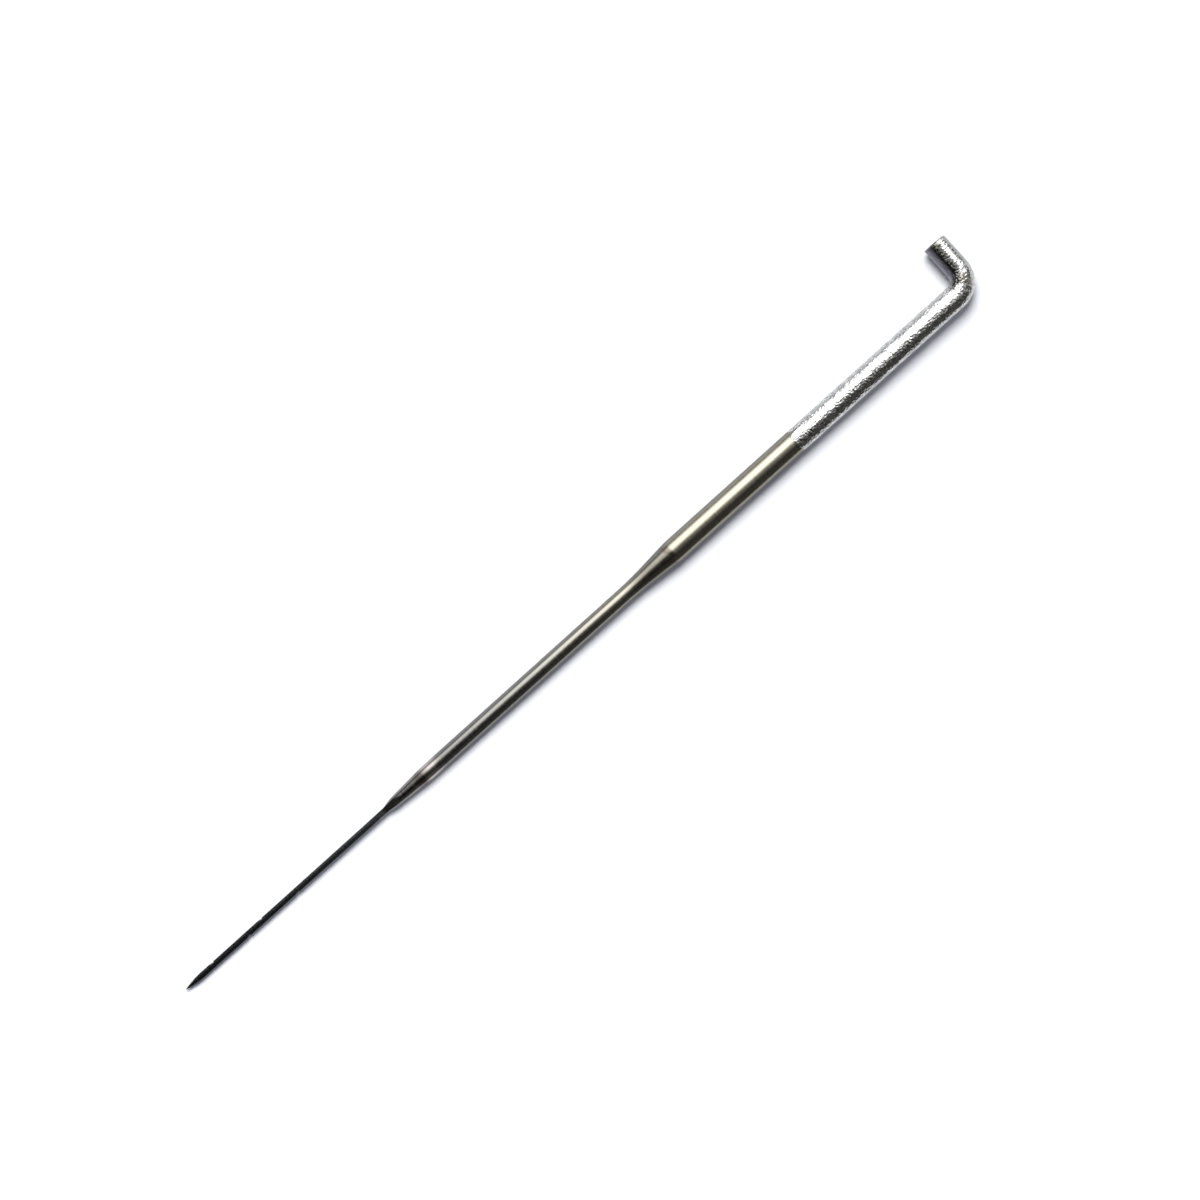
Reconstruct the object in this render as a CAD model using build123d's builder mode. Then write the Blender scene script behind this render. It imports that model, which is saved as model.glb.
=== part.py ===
from build123d import *
from math import asin, degrees
import os

# A felting needle: one steel wire, drawn down in two steps to a barbed three-sided blade and bent
# over at the top into a crank, with a thin silver coat that the crank and the top of the shank
# were dipped in. It lies flat, as on a table. +X runs from the point to the crank, +Y is the way
# the crank's leg points and +Z is up. The origin is on the shank's axis, where the bend begins.
# All lengths are millimetres. The blade and its barbs are measured from the point, and the shank and
# the coat from the crank's outer face.

# Whole needle: its length runs from the point to the crank's outer face, and the neck takes up
# what the other stretches leave of it
overall_length = 78.0
cut_overrun = 1.0

# Shank: from the upper cone to the crank's outer face
shank_diameter = 1.83
shank_length = 30.15

# Crank: the wire's bend, measured on its centreline, and its leg
bend_radius = 1.5
bend_angle = 90
crank_height = 4.0
sheared_corner_radius = 0.25

# Dip coat
coat_thickness = 0.03
coated_length = 18.2

# Point
point_length = 1.65
tip_radius = 0.02

# Blade: three flats pressed into a round bar leave three narrow edges
edge_diameter = 0.5
flat_distance = 0.14
flat_count = 3
flat_angle = 90
blade_length = 19.65
run_out_length = 2.1

# Lower cone, from the blade's root to the neck
root_length = 0.75
root_diameter = 0.8
lower_cone_length = 3.25
root_foot_blend = 1.0
root_top_blend = 3.0
lower_shoulder_blend = 16.0

# Neck and upper cone
neck_diameter = 1.2
upper_cone_length = 3.7
upper_foot_blend = 28.0
upper_shoulder_blend = 2.0

# Barbs: a notch that slopes down to a steep face, whose lip is raised a little
first_barb_distance = 2.87
barb_pitch = 4.8
barb_stagger = 1.66
barbs_per_edge = 2
first_edge_angle = 30
notch_length = 0.34
notch_depth = 0.08
lip_lean = 0.03
lip_rise = 0.025
lip_root_length = 0.55
lip_width = 0.03

# Worked out from the sizes above
shank_radius = shank_diameter / 2
coat_radius = shank_radius + coat_thickness
edge_radius = edge_diameter / 2
neck_radius = neck_diameter / 2
edge_turn = 360 / flat_count
outer_face_x = bend_radius + coat_radius
point_x = outer_face_x - overall_length
blade_end_x = point_x + blade_length
root_end_x = blade_end_x + root_length
neck_start_x = root_end_x + lower_cone_length
shank_start_x = outer_face_x - shank_length
neck_end_x = shank_start_x - upper_cone_length
coat_rim_x = outer_face_x - coated_length


def coated_end(radius):
    """The stretch of wire that is coated, from the coat's rim round the bend to the leg's end."""
    growth = radius - shank_radius
    leg_end_y = crank_height - coat_thickness + growth
    corner_radius = sheared_corner_radius + growth
    corner_centre = (bend_radius + radius - corner_radius, leg_end_y - corner_radius)
    corner_size = corner_radius + cut_overrun
    with BuildPart() as wire_end:
        with BuildLine() as centreline:
            shank_run = Line((coat_rim_x, 0), (0, 0))
            bend = JernArc(shank_run @ 1, (1, 0), bend_radius, bend_angle)
            Line(bend @ 1, (bend_radius, leg_end_y))
        with BuildSketch(Plane.YZ.offset(coat_rim_x)):
            Circle(radius)
        sweep(path=centreline.line)
        # The shear that cut the wire off rolled the leg's outer corner over
        with BuildSketch(Plane.XY):
            with Locations(corner_centre):
                Rectangle(corner_size, corner_size, align=(Align.MIN, Align.MIN))
                Circle(corner_radius, mode=Mode.SUBTRACT)
        extrude(amount=radius + cut_overrun, both=True, mode=Mode.SUBTRACT)
    return wire_end.part


bare_end = coated_end(shank_radius)
covered_end = coated_end(coat_radius)

# The point is an ogive that runs tangent into the blade and ends in a small ball
ball_reach = point_length - tip_radius
ogive_radius = (ball_reach**2 + edge_radius**2 - tip_radius**2) / (2 * (edge_radius - tip_radius))
ogive_angle = degrees(asin(ball_reach / (ogive_radius - tip_radius)))

# Steel needle
with BuildPart() as steel_needle:
    with BuildSketch(Plane.XY):
        with BuildLine():
            ball = JernArc((point_x, 0), (0, 1), tip_radius, ogive_angle - 90)
            ogive = JernArc(ball @ 1, ball % 1, ogive_radius, -ogive_angle)
            outline = FilletPolyline(
                ogive @ 1,
                (blade_end_x, edge_radius),
                (root_end_x, root_diameter / 2),
                (neck_start_x, neck_radius),
                (neck_end_x, neck_radius),
                (shank_start_x, shank_radius),
                (coat_rim_x, shank_radius),
                radius=[
                    root_foot_blend,
                    root_top_blend,
                    lower_shoulder_blend,
                    upper_foot_blend,
                    upper_shoulder_blend,
                ],
            )
            Polyline(outline @ 1, (coat_rim_x, 0), (point_x, 0))
        make_face()
    revolve(axis=Axis.X)

    # Flats: each is pressed in up to the blade's end and then runs out into the lower cone
    for flat in range(flat_count):
        with BuildSketch(Plane.XY.rotated((flat_angle + flat * edge_turn, 0, 0))):
            with BuildLine():
                Polyline(
                    (point_x - cut_overrun, flat_distance),
                    (blade_end_x, flat_distance),
                    (blade_end_x + run_out_length, neck_radius),
                    (blade_end_x + run_out_length, neck_radius + cut_overrun),
                    (point_x - cut_overrun, neck_radius + cut_overrun),
                    close=True,
                )
            make_face()
        extrude(amount=neck_radius + cut_overrun, both=True, mode=Mode.SUBTRACT)

    # Barbs: they step round the three edges, and each looks towards the point
    for edge in range(flat_count):
        edge_plane = Plane.XY.rotated((first_edge_angle - edge * edge_turn, 0, 0))
        for step in range(barbs_per_edge):
            lip_x = point_x + first_barb_distance + edge * barb_stagger + step * barb_pitch
            notch_floor = edge_radius - notch_depth
            with BuildSketch(edge_plane):
                with BuildLine():
                    Polyline(
                        (lip_x - notch_length, edge_radius),
                        (lip_x + lip_lean, notch_floor),
                        (lip_x, edge_radius + lip_rise),
                        (lip_x, edge_radius + cut_overrun),
                        (lip_x - notch_length, edge_radius + cut_overrun),
                        close=True,
                    )
                make_face()
            extrude(amount=edge_radius, both=True, mode=Mode.SUBTRACT)
            with BuildSketch(edge_plane):
                with BuildLine():
                    Polyline(
                        (lip_x + lip_lean, notch_floor),
                        (lip_x, edge_radius + lip_rise),
                        (lip_x + lip_root_length, notch_floor),
                        close=True,
                    )
                make_face()
            extrude(amount=lip_width / 2, both=True)

    add(bare_end)

steel_needle.part.label = "steel_needle"

# Dip coat: a skin over the coated stretch, closed over the leg's end
with BuildPart() as dip_coat:
    add(covered_end)
    add(bare_end, mode=Mode.SUBTRACT)

dip_coat.part.label = "dip_coat"

os.makedirs("parts", exist_ok=True)
export_step(steel_needle.part, "parts/steel_needle.step")
export_step(dip_coat.part, "parts/dip_coat.step")
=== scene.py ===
import math

import bmesh
import bpy
import numpy as np
from mathutils import Matrix, Vector, noise


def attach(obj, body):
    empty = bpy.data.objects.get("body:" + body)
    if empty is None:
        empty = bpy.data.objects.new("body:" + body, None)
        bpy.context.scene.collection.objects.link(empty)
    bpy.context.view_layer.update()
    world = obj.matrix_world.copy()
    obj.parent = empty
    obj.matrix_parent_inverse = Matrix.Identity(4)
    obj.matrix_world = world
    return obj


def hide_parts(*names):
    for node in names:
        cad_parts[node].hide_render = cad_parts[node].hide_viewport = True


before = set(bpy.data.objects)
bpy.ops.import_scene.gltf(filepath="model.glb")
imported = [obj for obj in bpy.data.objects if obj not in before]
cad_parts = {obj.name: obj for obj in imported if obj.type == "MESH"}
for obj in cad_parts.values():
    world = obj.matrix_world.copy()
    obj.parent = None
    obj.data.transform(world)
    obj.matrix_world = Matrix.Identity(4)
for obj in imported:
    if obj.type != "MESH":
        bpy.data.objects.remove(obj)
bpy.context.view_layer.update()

# A felting needle lying on a white table: one steel wire, drawn down in two steps to a barbed
# three-sided blade and bent over into a crank, and the silver coat that its top end was dipped in.
# Lengths are millimetres until a mesh is made. The needle lies along X with its point at -X, the
# crank's leg points to +Y, and the bend begins at the origin.
MM = 0.001

# Point and blade
POINT_X = -75.555
POINT_LENGTH = 1.65
TIP_RADIUS = 0.02
EDGE_RADIUS = 0.25
FLAT_DISTANCE = 0.14
BLADE_END_X = -55.905
RUN_OUT_LENGTH = 2.1
EDGES = 3
EDGE_TURN = 2 * math.pi / EDGES
FIRST_EDGE_ANGLE = math.radians(30)

# Barbs
FIRST_BARB = 2.87
BARB_PITCH = 4.8
BARB_STAGGER = 1.66
BARBS_PER_EDGE = 2
NOTCH_LENGTH = 0.34
NOTCH_DEPTH = 0.08
LIP_LEAN = 0.03
LIP_RISE = 0.025
LIP_FALL = 0.13
# The notch runs down in a shallow curve, as the punch leaves it, and the lip falls off in a hollow
NOTCH_CURVE = 0.6
LIP_CURVE = 1.3
# Two rows of points this far apart make the steep face between notch and lip
FACE_STEP = 0.004

# Cones, neck and shank: where each stretch begins, its radius there and the blend at that corner
ROOT_END = (-55.155, 0.4, 3.0)
NECK_START = (-51.905, 0.6, 16.0)
NECK_END = (-31.405, 0.6, 28.0)
SHANK_START = (-27.705, 0.915, 2.0)
BLADE_BLEND = 1.0
NECK_RADIUS = 0.6
SHANK_RADIUS = 0.915

# Crank and dip coat. The wire's end is a length along its centreline from the bend's start.
BEND_RADIUS = 1.5
BEND_LENGTH = BEND_RADIUS * math.pi / 2
LEG_END_Y = 4.0
COAT_RADIUS = 0.945
COAT_RIM_X = -15.755
WIRE_END = BEND_LENGTH + LEG_END_Y - BEND_RADIUS


# Shapes


def skin(name, rings, first_pole, last_pole):
    """A closed mesh from rings of points (millimetres) that run from one pole to the other."""
    rows, columns = rings.shape[:2]
    points = np.concatenate([rings.reshape(-1, 3), [first_pole, last_pole]]) * MM
    here = np.arange(columns)
    beside = (here + 1) % columns
    faces = []
    for row in range(rows - 1):
        low, high = row * columns, (row + 1) * columns
        faces += np.stack([low + here, low + beside, high + beside, high + here], 1).tolist()
    first, last = rows * columns, rows * columns + 1
    top = (rows - 1) * columns
    faces += np.stack([beside, here, np.full(columns, first)], 1).tolist()
    faces += np.stack([top + here, top + beside, np.full(columns, last)], 1).tolist()
    mesh = bpy.data.meshes.new(name)
    mesh.from_pydata(points.tolist(), [], faces)
    made = bmesh.new()
    made.from_mesh(mesh)
    bmesh.ops.recalc_face_normals(made, faces=made.faces)
    made.to_mesh(mesh)
    made.free()
    mesh.shade_smooth()
    return new_object(name, mesh)


def new_object(name, data):
    made = bpy.data.objects.new(name, data)
    bpy.context.scene.collection.objects.link(made)
    return made


def along_wire(along, side, up):
    """Points of the bent wire: along its centreline from the bend's start, to the side that the
    leg points to, and up from the table."""
    turn = np.clip(along / BEND_RADIUS, 0, math.pi / 2)
    x = np.minimum(along, 0) + BEND_RADIUS * np.sin(turn) - side * np.sin(turn)
    y = (
        BEND_RADIUS * (1 - np.cos(turn))
        + np.maximum(along - BEND_LENGTH, 0)
        + side * np.cos(turn)
    )
    return np.stack(np.broadcast_arrays(x, y, up), -1)


def round_wire(along, radius, angle):
    """Points round the bent wire, by angle from the side that the leg points to."""
    along = np.broadcast_to(along, angle.shape)
    return along_wire(along, radius * np.cos(angle), radius * np.sin(angle))


def smooth_step(value):
    """0 below 0, 1 above 1, and an S-curve between them."""
    value = np.clip(value, 0, 1)
    return value * value * (3 - 2 * value)


def blended(corners):
    """(x, radius) points of a turned outline whose corners are rounded by their blends."""
    line = [corners[0][:2]]
    for before, corner, after in zip(corners, corners[1:], corners[2:]):
        here = Vector(corner[:2])
        back = (Vector(before[:2]) - here).normalized()
        ahead = (Vector(after[:2]) - here).normalized()
        turn = math.pi - back.angle(ahead)
        reach = corner[2] * math.tan(turn / 2)
        centre = here + (back + ahead).normalized() * (corner[2] / math.cos(turn / 2))
        start, end = here + back * reach - centre, here + ahead * reach - centre
        for share in np.linspace(0, 1, 9):
            spoke = start.lerp(end, float(share)).normalized() * corner[2]
            line.append(tuple(centre + spoke))
    line.append(corners[-1][:2])
    return np.array(line)


OUTLINE = blended(
    [
        (POINT_X + POINT_LENGTH, EDGE_RADIUS),
        (BLADE_END_X, EDGE_RADIUS, BLADE_BLEND),
        ROOT_END,
        NECK_START,
        NECK_END,
        SHANK_START,
        (COAT_RIM_X, SHANK_RADIUS),
    ]
)
# The point is an ogive that ends in a small ball
BALL_REACH = POINT_LENGTH - TIP_RADIUS
OGIVE_RADIUS = (BALL_REACH**2 + EDGE_RADIUS**2 - TIP_RADIUS**2) / (2 * (EDGE_RADIUS - TIP_RADIUS))
OGIVE_END_X = POINT_X + POINT_LENGTH
BALL_END_X = OGIVE_END_X - BALL_REACH * OGIVE_RADIUS / (OGIVE_RADIUS - TIP_RADIUS)


def round_radius(x):
    """The needle's radius at x before the flats are pressed in."""
    if x < BALL_END_X:
        return math.sqrt(max(TIP_RADIUS**2 - (x - POINT_X - TIP_RADIUS) ** 2, 0))
    if x < OGIVE_END_X:
        return EDGE_RADIUS - OGIVE_RADIUS + math.sqrt(OGIVE_RADIUS**2 - (x - OGIVE_END_X) ** 2)
    return float(np.interp(x, OUTLINE[:, 0], OUTLINE[:, 1]))


def flat_height(x):
    """How far the three flats are from the axis at x: level on the blade, rising in the run-out."""
    rise = max(x - BLADE_END_X, 0) / RUN_OUT_LENGTH
    return FLAT_DISTANCE + (NECK_RADIUS - FLAT_DISTANCE) * rise


# A ring's points on each flat and round each edge, and the half angle that a flat's points span:
# the least on the blade, and the one at which all points are evenly spaced
FLAT_STEPS = 20
EDGE_STEPS = 8
LEAST_HALF_FLAT = math.radians(20)
EVEN_HALF_FLAT = EDGE_TURN / 2 * FLAT_STEPS / (FLAT_STEPS + EDGE_STEPS)
# The points even out where the needle gets thinner than its flats reach, and towards its point
EVEN_DEPTH = 0.12
EVEN_START_X = OGIVE_END_X - 1.1
EVEN_LENGTH = 0.3
NEARLY_FLAT_SHARE = 0.8
# A notch floor this far out cuts nothing, and a lip takes up this share of its edge
NO_CUT = 9.0
LIP_WIDTH_SHARE = 0.8


def needle_ring(x, cuts, lips, shifts):
    """One ring of the straight needle. Its points follow the corners between flats and edges, so
    that these stay crisp; cuts, lips and shifts give each edge's notch floor, raised lip and lean."""
    radius, flat = round_radius(x), flat_height(x)
    corner = math.acos(min(flat / radius, 1)) if radius > flat else 0
    if corner > 0 or radius > flat * NEARLY_FLAT_SHARE:
        evening = max((flat - radius) / EVEN_DEPTH, (EVEN_START_X - x) / EVEN_LENGTH)
        spread = LEAST_HALF_FLAT + (EVEN_HALF_FLAT - LEAST_HALF_FLAT) * float(smooth_step(evening))
        corner = max(corner, spread)
    else:
        corner = EVEN_HALF_FLAT
    halves = []
    for cut in cuts:
        half = EDGE_TURN / 2 - corner
        if cut < radius:
            across = cut * math.sin(EDGE_TURN / 2)
            half = max(half, math.atan2(flat - cut * math.cos(EDGE_TURN / 2), across))
        halves.append(half)
    points = []
    for edge in range(EDGES):
        middle = FIRST_EDGE_ANGLE - edge * EDGE_TURN
        shift = shifts[edge]
        for step in range(EDGE_STEPS):
            off = halves[edge] * (1 - 2 * step / EDGE_STEPS)
            reach = min(radius, flat / math.cos(EDGE_TURN / 2 - abs(off)), cuts[edge] / math.cos(off))
            if abs(off) < halves[edge] * LIP_WIDTH_SHARE:
                reach += lips[edge]
            angle = middle + off
            points.append((x + shift, reach * math.cos(angle), reach * math.sin(angle)))
        start = middle - halves[edge]
        end = middle - EDGE_TURN + halves[(edge + 1) % EDGES]
        for step in range(FLAT_STEPS):
            angle = start + (end - start) * step / FLAT_STEPS
            reach = min(radius, flat / math.cos(angle - (middle - EDGE_TURN / 2)))
            points.append((x + shift, reach * math.cos(angle), reach * math.sin(angle)))
            shift = 0
    return points


def barb_rows():
    """(x, edge, notch floor, lip, lean) of the rows that shape each barb."""
    rows = []
    floor = EDGE_RADIUS - NOTCH_DEPTH
    for edge in range(EDGES):
        for step in range(BARBS_PER_EDGE):
            lip_x = POINT_X + FIRST_BARB + edge * BARB_STAGGER + step * BARB_PITCH
            for share in np.linspace(0, 1, 10):
                x = lip_x - NOTCH_LENGTH * (1 - share)
                cut = EDGE_RADIUS - NOTCH_DEPTH * share**NOTCH_CURVE
                rows.append((x, edge, cut, 0, LIP_LEAN * share**3))
            lean = (LIP_LEAN - FACE_STEP) / 2
            rows.append((lip_x + FACE_STEP, edge, (floor + EDGE_RADIUS) / 2, LIP_RISE / 2, lean))
            for share in np.linspace(0, 1, 6):
                x = lip_x + 2 * FACE_STEP + LIP_FALL * share
                lean = -2 * FACE_STEP * (1 - share)
                rows.append((x, edge, NO_CUT, LIP_RISE * (1 - share) ** LIP_CURVE, lean))
    return rows


# Where each stretch of plain rings begins, and how far apart its rings are; they are close together
# where the flats run out and at the shank's shoulder
RING_STRETCHES = [
    (OGIVE_END_X + 0.25, 0.25),
    (BLADE_END_X, 0.05),
    (ROOT_END[0] + 2.6, 0.12),
    (NECK_START[0] + 1.6, 0.5),
    (NECK_END[0] - 2.0, 0.12),
    (SHANK_START[0] - 0.4, 0.03),
    (SHANK_START[0] + 0.4, 0.5),
    (0.0, None),
]
# Plain rings stay this far off a barb's rows
CLEAR_OF_BARBS = 0.012

# Under the coat the steel stops short of the wire's end, and its end is a little thinner
STEEL_END = WIRE_END - 0.06
STEEL_END_RADIUS = SHANK_RADIUS - 0.01


def steel_wire():
    """The whole needle as one piece of wire, from its point to the crank's end."""
    barbs = barb_rows()
    ball = POINT_X + TIP_RADIUS * (1 - np.cos(np.linspace(0.35, 1.4, 5)))
    plain = [BALL_END_X + (OGIVE_END_X - BALL_END_X) * np.linspace(0, 1, 40) ** 1.4]
    for (start, step), (end, _) in zip(RING_STRETCHES, RING_STRETCHES[1:]):
        plain.append(np.arange(start, end, step))
    plain = np.unique(np.concatenate(plain).round(6))
    plain = [x for x in plain if all(abs(x - row[0]) >= CLEAR_OF_BARBS for row in barbs)]
    stations = [(x, None) for x in [*ball, *plain]] + [(row[0], row) for row in barbs]
    rings = []
    for x, barb in sorted(stations, key=lambda station: station[0]):
        cuts, lips, shifts = [NO_CUT] * EDGES, [0.0] * EDGES, [0.0] * EDGES
        if barb:
            cuts[barb[1]], lips[barb[1]], shifts[barb[1]] = barb[2:]
        rings.append(needle_ring(float(x), cuts, lips, shifts))
    rings = np.array(rings)
    # Under the coat: round the bend and up the leg
    angle = np.arctan2(rings[-1][:, 2], rings[-1][:, 1])
    bent = [
        round_wire(along, SHANK_RADIUS, angle)
        for along in [*np.linspace(0, BEND_LENGTH, 24), BEND_LENGTH + 1.0, BEND_LENGTH + 1.9]
    ]
    corner = corner_radius(angle)
    for turn in np.radians([0, 30, 60, 90]):
        along = STEEL_END - corner * (1 - math.sin(turn))
        bent.append(round_wire(along, STEEL_END_RADIUS - corner * (1 - math.cos(turn)), angle))
    rings = np.concatenate([rings, np.array(bent)])
    wire = skin("drawn_steel_needle", rings, (POINT_X, 0, 0), along_wire(STEEL_END, 0, 0))
    wire.data.set_sharp_from_angle(angle=math.radians(24))
    return wire


# How far the coat's rim runs past or stops short of its mean line, by angle from +Y over the top
RIM = {
    0: 0.10,
    20: 0.12,
    34: 0.10,
    40: 0.62,
    47: 0.78,
    52: 0.55,
    57: 0.06,
    64: -0.04,
    80: 0.04,
    95: -0.05,
    120: 0.0,
    150: 0.10,
    180: 0.15,
    215: -0.1,
    250: 0.2,
    290: -0.05,
    330: 0.15,
}

# Rounding of the leg's end by angle from the leg's inner side over the top: sharp where the shear's
# blade left, rolled where it came in
CORNERS = {0: 0.03, 25: 0.05, 60: 0.14, 90: 0.22, 140: 0.26, 180: 0.27, 220: 0.24, 270: 0.16, 330: 0.05}

# Pits in the leg's coat: place along Y, angle from the leg's inner side over the top, radius, depth
PITS = [
    (3.62, 108, 0.10, 0.020),
    (3.50, 122, 0.09, 0.016),
    (2.55, 84, 0.10, 0.016),
    (2.48, 92, 0.07, 0.012),
    (1.55, 100, 0.08, 0.014),
    (3.05, 130, 0.07, 0.010),
]

# The coat's height above the steel: its mean, its least, and its most, which stays just inside the
# solid's surface
COAT_MEAN = 0.0150
COAT_LEAST = 0.003
COAT_CLEARANCE = 0.0012
COAT_MOST = COAT_RADIUS - COAT_CLEARANCE - SHANK_RADIUS
# The radius at which the lumps are drawn, and the inner wall's, just inside the steel's surface
LUMPS_RADIUS = SHANK_RADIUS + 0.02
BORE_RADIUS = SHANK_RADIUS - 0.004

# The coat's mesh: points round the wire, the rows' spacing along it, and the rows at the rim
COAT_AROUND = 152
COAT_ROW_STEP = 0.035
RIM_ROWS = [0.0, 0.012, 0.03, 0.055, 0.085]
RIM_ROWS_END = 0.12
LAST_ROW_GAP = 0.02
# The rim's raggedness fades out over the first length, and its bead comes up over the second, from
# just inside the steel's surface
RIM_FADE = 2.6
RIM_BEAD = 0.07
RIM_SUNK = 0.0015
RIM_JITTER = 0.05
# The rounding of the leg's end draws the rows back over this length
END_STRETCH = 1.0

# The leg's sheared end: the burr's height and half width (as an angle), the dish's depth, place and
# half widths, the ripples that the shear left, and where the face's rim and middle are
BURR_HEIGHT = 0.03
BURR_WIDTH = 0.7
DISH_DEPTH = 0.05
DISH_SIDE = 0.25
DISH_WIDTHS = (0.42, 0.9)
FACE_RIPPLE = 0.012
FACE_RIM = WIRE_END - 0.004
FACE_MIDDLE = WIRE_END - 0.01
# Where the inner wall ends, under the face
BORE_END = WIRE_END - 0.09


def by_angle(table, angle):
    """A table's value at each angle, in degrees round the wire."""
    return np.interp(np.degrees(angle) % 360, list(table), list(table.values()), period=360)


def corner_radius(angle):
    return by_angle(CORNERS, angle)


def burr_height(angle):
    """The burr that the shear left along the inner edge of the leg's end."""
    off = np.abs((angle + math.pi) % (2 * math.pi) - math.pi)
    return BURR_HEIGHT * np.exp(-((off / BURR_WIDTH) ** 2))


def end_dip(side, up):
    """How far the middle of the leg's sheared end face is dished."""
    off = ((side - DISH_SIDE) / DISH_WIDTHS[0]) ** 2 + (up / DISH_WIDTHS[1]) ** 2
    return DISH_DEPTH * np.exp(-off)


def coat_height(points):
    """How far the coat stands off the steel at surface points: it froze in small lumps."""
    height = np.empty(len(points))
    for i, point in enumerate(points):
        at = Vector(point)
        lumps = noise.noise(at / 0.155)
        ripples = noise.noise(at / 0.095 + Vector((31, 7, 3)))
        waves = noise.noise(at / 0.9 + Vector((5, 50, 9)))
        height[i] = COAT_MEAN + 0.0225 * lumps + 0.0110 * ripples + 0.003 * waves
    return np.minimum(height, COAT_MOST)


def coat_outside(angle, rim):
    """The coat's outside from its rim to where the end's rounded edge begins, and its last radius."""
    length = WIRE_END - COAT_RIM_X
    rows = np.concatenate([RIM_ROWS, np.arange(RIM_ROWS_END, length - LAST_ROW_GAP, COAT_ROW_STEP)])
    fade = 1 - smooth_step(rows / RIM_FADE)
    along = COAT_RIM_X + rows[:, None] + (rim - COAT_RIM_X)[None, :] * fade[:, None]
    stretch = smooth_step((rows - (length - END_STRETCH)) / END_STRETCH)
    along = along - corner_radius(angle)[None, :] * stretch[:, None]

    side, up = np.cos(angle)[None, :], np.sin(angle)[None, :]
    on_surface = along_wire(along, LUMPS_RADIUS * side, LUMPS_RADIUS * up)
    height = coat_height(on_surface.reshape(-1, 3)).reshape(along.shape)
    for pit_y, pit_angle, pit_radius, depth in PITS:
        around = np.radians(np.degrees(angle)[None, :] - pit_angle) * SHANK_RADIUS
        away = np.hypot(along - BEND_LENGTH - pit_y + BEND_RADIUS, around)
        height = height - depth * np.exp(-((away / pit_radius) ** 2))
    # A wetted rim: the skin comes up off the steel in a small round bead
    rise = np.sqrt(np.clip(rows / RIM_BEAD, 0, 1))[:, None]
    radius = SHANK_RADIUS - RIM_SUNK + (np.maximum(height, COAT_LEAST) + RIM_SUNK) * rise
    return along_wire(along, radius * side, radius * up), radius[-1]


def coat_end(angle, radius):
    """The leg's end: a rounded edge that the shear left sharp and burred on its inner side, then
    the dished face."""
    rings = []
    corner = corner_radius(angle)
    for turn in np.radians([8, 18, 29, 41, 54, 67, 79, 90]):
        edge = radius - corner * (1 - math.cos(turn))
        edge = edge + burr_height(angle) * math.sin(turn) * math.cos(turn)
        rise = FACE_RIM - corner * (1 - math.sin(turn))
        ripple = [noise.noise(Vector((math.cos(a) * 3, math.sin(a) * 3, turn * 2))) for a in angle]
        rise = rise + FACE_RIPPLE * (np.array(ripple) - 0.5) * math.sin(turn)
        rings.append(round_wire(rise, edge, angle))
    for share in (0.94, 0.86, 0.77, 0.67, 0.56, 0.45, 0.34, 0.22, 0.1):
        side, up = edge * np.cos(angle) * share, edge * np.sin(angle) * share
        ripple = [noise.noise(Vector((s, u, 4)) / 0.28) for s, u in zip(side, up)]
        level = rise * share**3 + FACE_MIDDLE * (1 - share**3)
        level = level + FACE_RIPPLE * np.array(ripple) * (1 - share) ** 0.5
        rings.append(along_wire(level - end_dip(side, up) * (1 - share**2), side, up))
    return rings


def silver_skin():
    """The dip coat: a closed skin over the bare end, ragged at its rim and lumpy all over."""
    angle = np.arange(COAT_AROUND) * 2 * math.pi / COAT_AROUND
    rim = COAT_RIM_X + by_angle(RIM, angle)
    rim += [RIM_JITTER * noise.noise(Vector((math.cos(a) * 5, math.sin(a) * 5, 2))) for a in angle]
    outside, last_radius = coat_outside(angle, rim)
    # The inner wall runs from the leg's end back to the rim
    places = [*np.linspace(BORE_END, BEND_LENGTH, 8), *np.linspace(BEND_LENGTH, 0, 20)[1:]]
    places += [COAT_RIM_X + 3.0, rim + 0.02]
    walls = [round_wire(along, BORE_RADIUS, angle) for along in places]
    rings = np.concatenate([np.array(walls), outside, np.array(coat_end(angle, last_radius))])
    face_middle = along_wire(FACE_MIDDLE - end_dip(0, 0), 0, 0)
    coat = skin("silver_dip_coat", rings, along_wire(BORE_END, 0, 0), face_middle)
    coat.data.set_sharp_from_angle(angle=math.radians(50))
    return coat


# Materials


def node(tree, kind, inputs=(), **settings):
    """Adds a node; settings are its properties, and inputs are values or sockets to link."""
    made = tree.nodes.new(kind)
    for name, value in settings.items():
        setattr(made, name, value)
    for name, value in dict(inputs).items():
        if isinstance(value, bpy.types.NodeSocket):
            tree.links.new(value, made.inputs[name])
        else:
            made.inputs[name].default_value = value
    return made


def colour(code):
    """An sRGB hex colour as linear RGBA."""
    shares = [int(code[i : i + 2], 16) / 255 for i in (1, 3, 5)]
    return tuple(c / 12.92 if c <= 0.04045 else ((c + 0.055) / 1.055) ** 2.4 for c in shares) + (1.0,)


def new_material(name):
    """A new material, its node tree and its shader."""
    made = bpy.data.materials.new(name)
    made.use_nodes = True
    return made, made.node_tree, made.node_tree.nodes["Principled BSDF"]


def per_mm(size):
    """The texture scale at which one unit of a pattern is this many millimetres."""
    return 1 / (size * MM)


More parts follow.
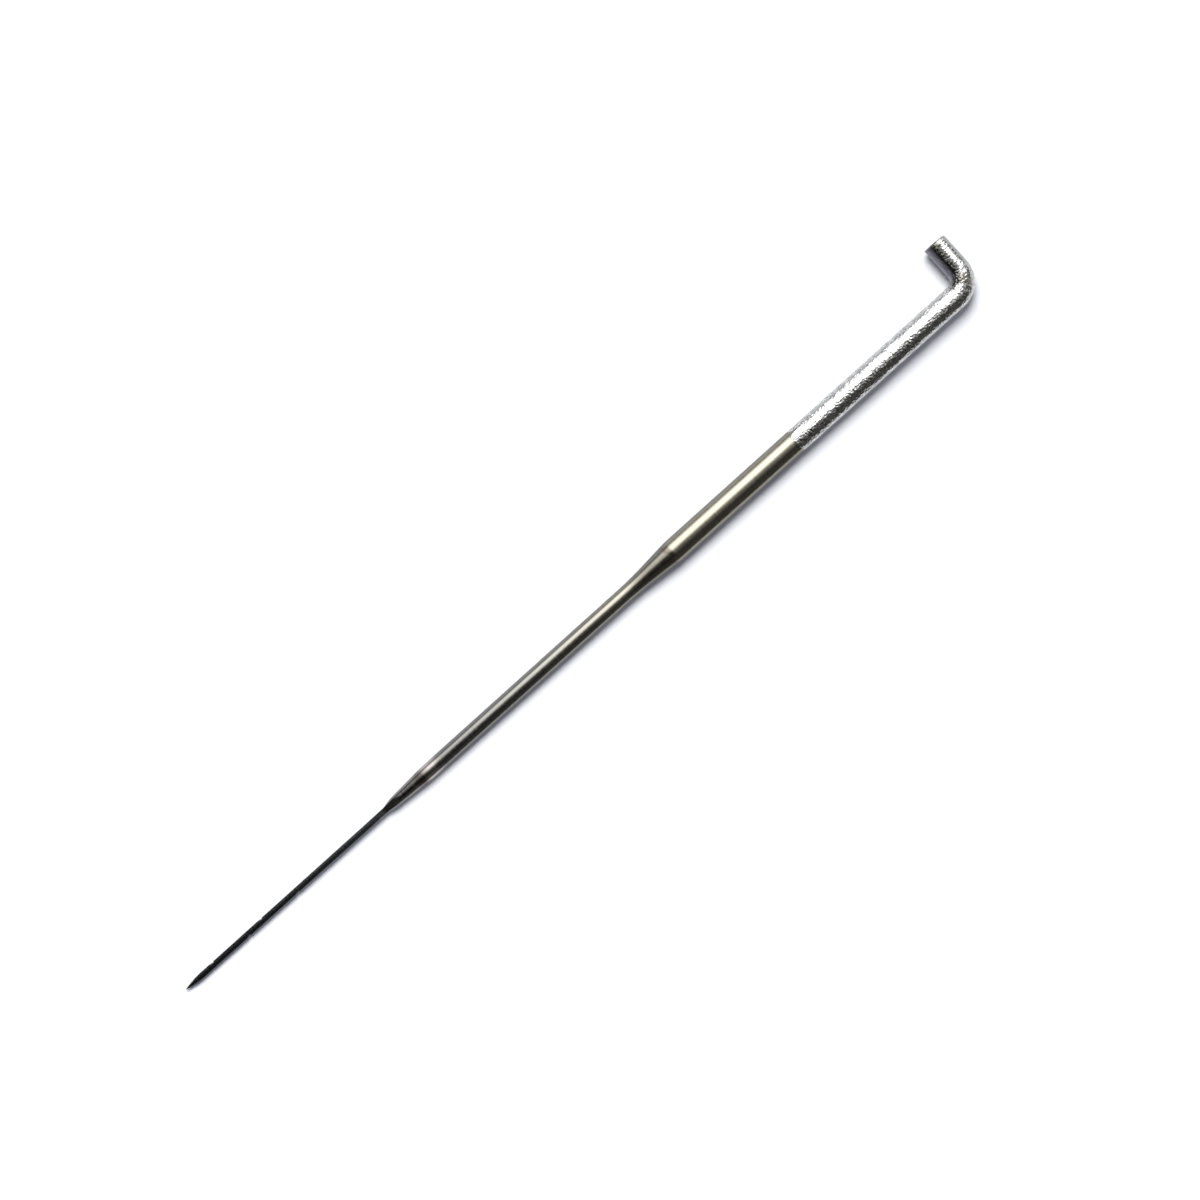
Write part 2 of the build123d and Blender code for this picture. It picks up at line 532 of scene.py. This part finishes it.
# The steel's tone along the needle: dark on the blade. The lower cone is lighter, and the neck
# just above the lower brown line lighter still, both a painted highlight; the upper cone is darker,
# painted shade.
STEEL_TONES = [
    (-75.0, "#56575a"),
    (-57.5, "#56575a"),
    # Painted highlight: the lower cone is lighter than the neck
    (-55.4, "#878786"),
    (-53.6, "#969490"),
    (-52.3, "#969490"),
    # Painted highlight: lighter still just above the lower brown line
    (-52.1, "#c4beb8"),
    (-51.1, "#b8b3ad"),
    (-50.4, "#868580"),
    (-45.0, "#868580"),
    (-32.0, "#8f8c81"),
    # Painted shade: the upper cone is darker
    (-31.0, "#827f75"),
    (-28.4, "#827f75"),
    (-27.6, "#928e81"),
]
# A highlight painted along one side of the blade
PAINTED_SHEEN_STEEL = "#cdced0"
BROWNED_STEEL = "#6f5f57"
# The brown lines: place and half width
BROWN_LINES = [(-28.12, 0.40), (-52.45, 0.6)]


# High-carbon steel wire, drawn and swaged down, hardened, then polished round its axis: a satin
# grey with a warm cast, dark on the blade, with faint rings
def drawn_steel():
    made, tree, shader = new_material("drawn_carbon_steel")
    place = node(tree, "ShaderNodeTexCoord").outputs["Object"]
    x, y, _ = node(tree, "ShaderNodeSeparateXYZ", {0: place}).outputs
    # Polishing rings are a few hundredths of a millimetre apart; drawn wider so that they show
    inputs = {0: place, 1: (per_mm(0.16), per_mm(1.6), per_mm(1.6))}
    rings = node(tree, "ShaderNodeVectorMath", inputs, operation="MULTIPLY").outputs[0]
    inputs = {"Vector": rings, "Scale": 1.0, "Detail": 2.0, "Roughness": 0.6}
    rings = node(tree, "ShaderNodeTexNoise", inputs).outputs[0]
    inputs = {"Vector": place, "Scale": per_mm(0.5), "Detail": 2.0}
    blots = node(tree, "ShaderNodeTexNoise", inputs).outputs[0]
    # Each share goes from its first value to its last while its source goes from start to end
    shares = {}
    for name, source, start, end, first, last in (
        ("length", x, POINT_X * MM, 0.0, 0.0, 1.0),
        ("one side", y, -0.02 * MM, 0.22 * MM, 0.0, 1.0),
        ("blade", x, -58.0 * MM, -56.0 * MM, 1.0, 0.0),
        ("ring tone", rings, 0.3, 0.7, 0.92, 1.05),
        ("gloss", rings, 0.3, 0.7, 0.20, 0.27),
        ("blots", blots, 0.38, 0.55, 0.25, 1.0),
    ):
        inputs = {0: source, 1: start, 2: end, 3: first, 4: last}
        shares[name] = node(tree, "ShaderNodeMapRange", inputs).outputs[0]

    tones = node(tree, "ShaderNodeValToRGB", {0: shares["length"]})
    steps = tones.color_ramp.elements
    while len(steps) < len(STEEL_TONES):
        steps.new(1.0)
    for step, (tone_x, tint) in zip(steps, STEEL_TONES):
        step.position = 1 - tone_x / POINT_X
        step.color = colour(tint)
    # Painted highlight: the blade is lighter along one side, towards +Y
    inputs = {0: shares["one side"], 1: shares["blade"]}
    painted_sheen = node(tree, "ShaderNodeMath", inputs, operation="MULTIPLY").outputs[0]
    inputs = {0: painted_sheen, 6: tones.outputs[0], 7: colour(PAINTED_SHEEN_STEEL)}
    steel = node(tree, "ShaderNodeMix", inputs, data_type="RGBA").outputs[2]
    inputs = {0: steel, "Scale": shares["ring tone"]}
    steel = node(tree, "ShaderNodeVectorMath", inputs, operation="SCALE").outputs[0]
    # A brown line was left at the head of each cone, where the swaging die stopped
    for line_x, width in BROWN_LINES:
        away = node(tree, "ShaderNodeMath", {0: x, 1: line_x * MM}, operation="SUBTRACT").outputs[0]
        away = node(tree, "ShaderNodeMath", {0: away}, operation="ABSOLUTE").outputs[0]
        inputs = {0: away, 1: 0.0, 2: width * MM, 3: 0.8, 4: 0.0}
        near = node(tree, "ShaderNodeMapRange", inputs).outputs[0]
        inputs = {0: near, 1: shares["blots"]}
        near = node(tree, "ShaderNodeMath", inputs, operation="MULTIPLY").outputs[0]
        inputs = {0: near, 6: steel, 7: colour(BROWNED_STEEL)}
        steel = node(tree, "ShaderNodeMix", inputs, data_type="RGBA").outputs[2]
    bump = node(tree, "ShaderNodeBump", {"Height": rings, "Strength": 0.5, "Distance": 0.0016 * MM})
    tree.links.new(steel, shader.inputs["Base Color"])
    tree.links.new(shares["gloss"], shader.inputs["Roughness"])
    tree.links.new(bump.outputs[0], shader.inputs["Normal"])
    shader.inputs["Metallic"].default_value = 1.0
    # Steel reflects a little less where the eye grazes it
    shader.inputs["Specular Tint"].default_value = colour("#c0c0c4")
    return made


# The coat's colours: its two bright tones, its pits and bare spots, the worn patch on the bend,
# and painted shade on bend and leg
SILVER_TONES = ("#a8a8a8", "#c6c5c2")
PITTED_SILVER = "#4c4a47"
BARE_SILVER = "#55524d"
# Painted shade: the dark band on the leg's inner half and the bend's inner side
PAINTED_DARK_BAND_SILVER = "#363630"
# Painted shade: a grey that dims the reflections on the leg's outer side and its end
PAINTED_GREY_SILVER = "#989b94"
# Painted shade: a lilac grey on the leg's inner rim, the shadowed table that it mirrors
PAINTED_RIM_SHADE_SILVER = "#8b8993"
WORN_SILVER = "#625c51"

# Dark spots that the dip left almost bare: centre and radius
BARE_SPOTS = [
    ((1.72, 3.56, 0.91), 0.15),
    ((1.60, 3.50, 0.93), 0.11),
    ((1.62, 2.15, 0.93), 0.10),
    ((1.58, 1.62, 0.93), 0.09),
    ((-15.76, 0.46, 0.81), 0.09),
    ((-15.02, 0.62, 0.69), 0.09),
    ((-7.9, -0.02, 0.93), 0.09),
]
# The bend wore a brownish patch into the skin: its centre, and where it starts to fade and ends
WORN_PATCH = ((1.38, 0.52, 0.85), 0.25, 0.68)


# Silver-coloured dip coat: bright metal that froze on the wire, glossy but lumpy and grained, with
# small dark pits where it did not wet the steel
def dipped_silver():
    made, tree, shader = new_material("dipped_silver")
    place = node(tree, "ShaderNodeTexCoord").outputs["Object"]
    x, y, _ = node(tree, "ShaderNodeSeparateXYZ", {0: place}).outputs
    # The grains are a tenth of a millimetre across and the blotches half a millimetre
    textures = []
    for size, detail in ((0.11, 2.0), (0.13, 1.0), (0.45, 2.0)):
        inputs = {"Vector": place, "Scale": per_mm(size), "Detail": detail, "Roughness": 0.5}
        textures.append(node(tree, "ShaderNodeTexNoise", inputs).outputs[0])
    fine, grain, blotches = textures
    # The painted dark band's edge is frayed by the fine grain, and it slants across the bend's
    # inner side
    inputs = {0: fine, 1: 0.4 * MM, 2: x}
    edge = node(tree, "ShaderNodeMath", inputs, operation="MULTIPLY_ADD").outputs[0]
    inputs = {0: y, 1: -0.74, 2: edge}
    slant = node(tree, "ShaderNodeMath", inputs, operation="MULTIPLY_ADD").outputs[0]
    inputs = {0: place, 1: [c * MM for c in WORN_PATCH[0]]}
    away = node(tree, "ShaderNodeVectorMath", inputs, operation="DISTANCE").outputs["Value"]
    # Each share goes from its first value to its last while its source goes from start to end
    shares = {}
    for name, source, start, end, first, last in (
        ("tone", blotches, 0.35, 0.65, 0.0, 1.0),
        ("speckle", grain, 0.32, 0.68, 0.68, 1.45),
        ("pits", fine, 0.68, 0.74, 0.0, 0.7),
        ("gloss", fine, 0.3, 0.7, 0.08, 0.17),
        ("inner", x, 0.94 * MM, 1.08 * MM, 0.9, 0.0),
        ("outer", x, 2.0 * MM, 2.15 * MM, 0.0, 0.75),
        ("leg", y, 0.95 * MM, 1.5 * MM, 0.0, 1.0),
        ("end", y, 3.60 * MM, 3.78 * MM, 0.0, 1.0),
        ("end's outer", x, 1.45 * MM, 1.75 * MM, 0.2, 0.9),
        ("painted_dark_band", edge, 1.80 * MM, 1.92 * MM, 0.9, 0.0),
        ("slant", slant, 0.74 * MM, 0.88 * MM, 1.0, 0.0),
        ("off the shank", y, 0.40 * MM, 0.62 * MM, 0.0, 0.75),
        ("bend", x, -0.1 * MM, 0.35 * MM, 0.0, 1.0),
        ("worn", away, WORN_PATCH[1] * MM, WORN_PATCH[2] * MM, 1.0, 0.0),
        ("broken", fine, 0.42, 0.56, 0.15, 1.0),
    ):
        inputs = {0: source, 1: start, 2: end, 3: first, 4: last}
        shares[name] = node(tree, "ShaderNodeMapRange", inputs).outputs[0]
    # The painted dark band is shade painted over the leg's inner half, and it thins out where the
    # shank begins. The leg's inner side is rougher and painted a lilac grey, the shadowed table
    # that it mirrors, and its outer side and its end are painted a plain grey, shade that dims
    # their reflections.
    for name, one, other, operation in (
        ("off the shank", "off the shank", "leg", "MAXIMUM"),
        ("painted_dark_band", "painted_dark_band", "slant", "MULTIPLY"),
        ("painted_dark_band", "painted_dark_band", "off the shank", "MULTIPLY"),
        ("painted_dark_band", "painted_dark_band", "bend", "MULTIPLY"),
        ("outer", "outer", "leg", "MULTIPLY"),
        ("end", "end", "end's outer", "MULTIPLY"),
        ("grey", "outer", "end", "MAXIMUM"),
        ("inner", "inner", "leg", "MULTIPLY"),
        ("dull", "inner", "end", "MAXIMUM"),
        ("worn", "worn", "broken", "MULTIPLY"),
    ):
        inputs = {0: shares[one], 1: shares[other]}
        shares[name] = node(tree, "ShaderNodeMath", inputs, operation=operation).outputs[0]

    # Blotches and grains of the frozen metal first, and then each mark over the last
    inputs = {0: shares["tone"], 6: colour(SILVER_TONES[0]), 7: colour(SILVER_TONES[1])}
    silver = node(tree, "ShaderNodeMix", inputs, data_type="RGBA").outputs[2]
    inputs = {0: silver, "Scale": shares["speckle"]}
    silver = node(tree, "ShaderNodeVectorMath", inputs, operation="SCALE").outputs[0]
    marks = [(shares["pits"], PITTED_SILVER)]
    for centre, size in BARE_SPOTS:
        inputs = {0: place, 1: [c * MM for c in centre]}
        away = node(tree, "ShaderNodeVectorMath", inputs, operation="DISTANCE").outputs["Value"]
        inputs = {0: away, 1: size * 0.6 * MM, 2: size * MM, 3: 0.85, 4: 0.0}
        marks.append((node(tree, "ShaderNodeMapRange", inputs).outputs[0], BARE_SILVER))
    # Painted shade over leg and bend goes on after the real pits and bare spots
    marks += [
        (shares["painted_dark_band"], PAINTED_DARK_BAND_SILVER),
        (shares["grey"], PAINTED_GREY_SILVER),
        (shares["inner"], PAINTED_RIM_SHADE_SILVER),
        (shares["worn"], WORN_SILVER),
    ]
    for share, tint in marks:
        inputs = {0: share, 6: silver, 7: colour(tint)}
        silver = node(tree, "ShaderNodeMix", inputs, data_type="RGBA").outputs[2]
    gloss = shares["gloss"]
    for name, rougher in (("dull", 0.22), ("painted_dark_band", 0.17)):
        inputs = {0: shares[name], 1: rougher, 2: gloss}
        gloss = node(tree, "ShaderNodeMath", inputs, operation="MULTIPLY_ADD").outputs[0]
    bump = node(tree, "ShaderNodeBump", {"Height": fine, "Strength": 1.0, "Distance": 0.020 * MM})
    tree.links.new(silver, shader.inputs["Base Color"])
    tree.links.new(gloss, shader.inputs["Roughness"])
    tree.links.new(bump.outputs[0], shader.inputs["Normal"])
    shader.inputs["Metallic"].default_value = 1.0
    return made


# The table, the lamps and the camera

# The needle lies nose down on the shank's shoulder, with the crank a quarter of a millimetre above
# the table
SHOULDER = Vector((-27.6, 0, -SHANK_RADIUS))
TABLE_UP = Vector((0.012, -0.028, 1)).normalized()
PICTURE_RIGHT = Vector((0.74336, -0.66889, 0))
PICTURE_RIGHT = (PICTURE_RIGHT - TABLE_UP * PICTURE_RIGHT.dot(TABLE_UP)).normalized()
PICTURE_UP = TABLE_UP.cross(PICTURE_RIGHT)
PICTURE_MIDDLE = Vector((-34.023, 0.930, 0))
PICTURE_WIDTH = 87.757
LENS = 180
SENSOR = 36

TABLE_REACH = 1500
TABLE_GLOW = 0.01
# The lamp that casts the shadow: where it stands from the picture's top, and its disc and colour
LAMP_TURN = math.radians(13.5)
LAMP_HEIGHT = math.radians(62)
LAMP_REACH = 600
LAMP_DISC = math.radians(30)
LAMP_ENERGY = 3.5
LAMP_COLOUR = (0.97, 0.985, 1.0)
ROOM_FILL = (0.180, 0.190, 0.235, 1)

# The window is an arch over the needle, turned to the left of the picture's top. Its level goes by
# the angle above the table.
WINDOW_STRENGTH = 4.9
WINDOW_HEIGHTS = [1, 10, 20, 32, 42, 67, 76, 83, 89, 100, 112, 124, 134]
WINDOW_LEVELS = [0.0, 0.16, 0.36, 0.75, 1.0, 1.0, 0.72, 0.40, 0.20, 0.115, 0.060, 0.022, 0.0]
WINDOW_TURN = math.radians(32.7)
WINDOW_REACH = 165
# Each side of it, in shares of its reach: where the panel ends, where the light ends and over how
# much it fades. On the left the light ends further in where it is high up.
LEFT_SIDE, LEFT_DARK, LEFT_FADE = -0.7, -0.47, 0.40
RIGHT_SIDE, RIGHT_DARK, RIGHT_FADE = 3.3, 3.2, 2.0
LEFT_SHIFT_HEIGHTS = [45, 76, 90]
LEFT_SHIFTS = [0, 0.15, 0.33]

# The dark room, and the pale wall to the picture's right with its turns and heights in degrees
ROOM_REACH = 900
ROOM_GLOW = 0.09
ROOM_COLOUR = "#fffaf6"
PALE_WALL_CENTRE = (27, 23)
PALE_WALL_REACH = 150
PALE_WALL_TURNS = (-8, 20)
PALE_WALL_HEIGHTS = (2, 60)
PALE_WALL_GLOW = 0.5
# The dark front: its rows from the table's front edge on, its middle along the needle, the least
# half width, and how far it lies above the table
FRONT_ROWS = (8, 60, 250, 900)
FRONT_MIDDLE_X = -34
FRONT_HALF_WIDTH = 60
FRONT_LIFT = 0.02


def studio(right, up, height):
    """A point of the studio: to the picture's right, towards its top, and above the table."""
    foot = PICTURE_MIDDLE - TABLE_UP * (PICTURE_MIDDLE - SHOULDER).dot(TABLE_UP)
    return (foot + PICTURE_RIGHT * right + PICTURE_UP * up + TABLE_UP * height) * MM


def aim(thing, place, target, top):
    """Puts a camera or lamp at a place so that its -Z looks at the target."""
    back = (place - target).normalized()
    right = top.cross(back).normalized()
    turned = Matrix((right, back.cross(right), back)).transposed().to_4x4()
    thing.matrix_world = Matrix.Translation(place) @ turned
    return thing


def panel(name, points, material):
    """A flat or folded stage panel from rows of studio points."""
    rows, columns = len(points), len(points[0])
    flat = [tuple(p) for row in points for p in row]
    faces = [
        (r * columns + c, r * columns + c + 1, (r + 1) * columns + c + 1, (r + 1) * columns + c)
        for r in range(rows - 1)
        for c in range(columns - 1)
    ]
    mesh = bpy.data.meshes.new(name)
    mesh.from_pydata(flat, [], faces)
    mesh.materials.append(material)
    made = new_object(name, mesh)
    return made


def seen_only_in_gloss(thing):
    thing.visible_camera = thing.visible_diffuse = thing.visible_shadow = False
    thing.visible_transmission = thing.visible_volume_scatter = False


def shown_directly(tree):
    """1 for camera, glossy and transmission rays, so that metal shows the background too."""
    path = node(tree, "ShaderNodeLightPath").outputs
    shown = path["Is Camera Ray"]
    for kind in ("Is Glossy Ray", "Is Transmission Ray"):
        inputs = {0: shown, 1: path[kind]}
        shown = node(tree, "ShaderNodeMath", inputs, operation="MAXIMUM").outputs[0]
    return shown


def white_table():
    made, tree, shader = new_material("white_table")
    shader.inputs["Base Color"].default_value = (0.9, 0.9, 0.9, 1)
    shader.inputs["Roughness"].default_value = 1.0
    shader.inputs["Specular IOR Level"].default_value = 0.0
    shader.inputs["Emission Color"].default_value = (1, 1, 1, 1)
    inputs = {0: shown_directly(tree), 1: TABLE_GLOW}
    lift = node(tree, "ShaderNodeMath", inputs, operation="MULTIPLY").outputs[0]
    tree.links.new(lift, shader.inputs["Emission Strength"])
    across = np.linspace(-TABLE_REACH, TABLE_REACH, 9)
    panel("table", [[studio(right, up, 0) for right in across] for up in across], made)


def glow(name, strength, tint="#ffffff"):
    """A plain glowing stage material."""
    made, tree, shader = new_material(name)
    tree.nodes.remove(shader)
    lamp = node(tree, "ShaderNodeEmission", {"Color": colour(tint), "Strength": strength})
    tree.links.new(lamp.outputs[0], tree.nodes["Material Output"].inputs["Surface"])
    return made


def window_panel():
    """The big soft lamp as the metal sees it: brightest high up, and fading out at its edges."""
    points, levels = [], []
    for high in np.linspace(WINDOW_HEIGHTS[0], WINDOW_HEIGHTS[-1], 49):
        level = np.interp(high, WINDOW_HEIGHTS, WINDOW_LEVELS)
        left_dark = LEFT_DARK + np.interp(high, LEFT_SHIFT_HEIGHTS, LEFT_SHIFTS)
        ahead = WINDOW_REACH * math.cos(math.radians(high))
        up = WINDOW_REACH * math.sin(math.radians(high))
        row = []
        for side in np.linspace(LEFT_SIDE, RIGHT_SIDE, 41):
            across = WINDOW_REACH * side
            row.append(
                studio(
                    across * math.cos(WINDOW_TURN) - ahead * math.sin(WINDOW_TURN),
                    across * math.sin(WINDOW_TURN) + ahead * math.cos(WINDOW_TURN),
                    up,
                )
            )
            fade = smooth_step((side - left_dark) / LEFT_FADE)
            fade = fade * smooth_step((RIGHT_DARK - side) / RIGHT_FADE)
            levels.append(float(fade * level))
        points.append(row)
    made = glow("window_glow", 1.0)
    tree = made.node_tree
    level = node(tree, "ShaderNodeAttribute", attribute_name="glow").outputs["Fac"]
    inputs = {0: level, 1: WINDOW_STRENGTH}
    strength = node(tree, "ShaderNodeMath", inputs, operation="MULTIPLY").outputs[0]
    tree.links.new(strength, tree.nodes["Emission"].inputs["Strength"])
    window = panel("window_panel", points, made)
    layer = window.data.attributes.new("glow", "FLOAT", "POINT")
    layer.data.foreach_set("value", levels)
    seen_only_in_gloss(window)


def dark_room():
    """Dark walls and ceiling that the metal sees round the lamp."""
    dome = []
    turns = np.radians(np.linspace(0, 360, 25))
    for high in np.radians(np.linspace(-2, 90, 12)):
        out, up = ROOM_REACH * math.cos(high), ROOM_REACH * math.sin(high)
        dome.append([studio(out * math.sin(turn), out * math.cos(turn), up) for turn in turns])
    dark = glow("dark_room_walls", ROOM_GLOW, ROOM_COLOUR)
    seen_only_in_gloss(panel("dark_room", dome, dark))
    # The outer side of the bend sees a pale wall
    wall = []
    right, ahead = PALE_WALL_CENTRE
    turns = np.radians(np.linspace(*PALE_WALL_TURNS, 9))
    for high in np.radians(np.linspace(*PALE_WALL_HEIGHTS, 7)):
        out, up = PALE_WALL_REACH * math.cos(high), PALE_WALL_REACH * math.sin(high)
        row = [studio(right + out * math.cos(turn), ahead + out * math.sin(turn), up) for turn in turns]
        wall.append(row)
    seen_only_in_gloss(panel("pale_wall", wall, glow("pale_wall", PALE_WALL_GLOW)))
    # From the table's front edge on, the metal's lower side sees the dark room
    front = []
    for out in FRONT_ROWS:
        row = []
        for share in np.linspace(-1, 1, 9):
            foot = Vector((FRONT_MIDDLE_X + share * max(out, FRONT_HALF_WIDTH), -out, 0))
            row.append((foot - TABLE_UP * ((foot - SHOULDER).dot(TABLE_UP) - FRONT_LIFT)) * MM)
        front.append(row)
    seen_only_in_gloss(panel("dark_front", front, dark))


def shadow_lamp():
    """A broad source high towards the picture's top, which the metal doesn't mirror."""
    lamp = bpy.data.lights.new("broad_lamp", "SUN")
    lamp.energy = LAMP_ENERGY
    lamp.angle = LAMP_DISC
    lamp.color = LAMP_COLOUR
    out, up = LAMP_REACH * math.cos(LAMP_HEIGHT), LAMP_REACH * math.sin(LAMP_HEIGHT)
    place = studio(-out * math.sin(LAMP_TURN), out * math.cos(LAMP_TURN), up)
    lit = aim(new_object("broad_lamp", lamp), place, studio(0, 0, 0), TABLE_UP)
    lit.visible_glossy = False


def backdrop():
    """The world: white where it shows, and a dim cool fill on the shadow's side."""
    world = bpy.data.worlds.new("studio")
    bpy.context.scene.world = world
    world.use_nodes = True
    tree = world.node_tree
    inputs = {0: shown_directly(tree), 6: ROOM_FILL, 7: (1, 1, 1, 1)}
    mixed = node(tree, "ShaderNodeMix", inputs, data_type="RGBA").outputs[2]
    tree.links.new(mixed, tree.nodes["Background"].inputs["Color"])
    tree.nodes["Background"].inputs["Strength"].default_value = 1.0


def camera():
    lens = bpy.data.cameras.new("camera")
    lens.lens = LENS
    lens.sensor_width = SENSOR
    lens.clip_start, lens.clip_end = 0.005, 10
    made = new_object("camera", lens)
    aim(made, studio(0, 0, PICTURE_WIDTH * LENS / SENSOR), studio(0, 0, 0), PICTURE_UP)
    bpy.context.scene.camera = made


needle = steel_wire()
needle.data.materials.append(drawn_steel())
coat = silver_skin()
coat.data.materials.append(dipped_silver())
for piece, cad_node, finish in ((needle, "steel_needle", "steel"), (coat, "dip_coat", "silver_coat")):
    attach(piece, "root")
    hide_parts(cad_node)

white_table()
window_panel()
dark_room()
shadow_lamp()
backdrop()
camera()
bpy.context.scene.view_settings.view_transform = "Standard"
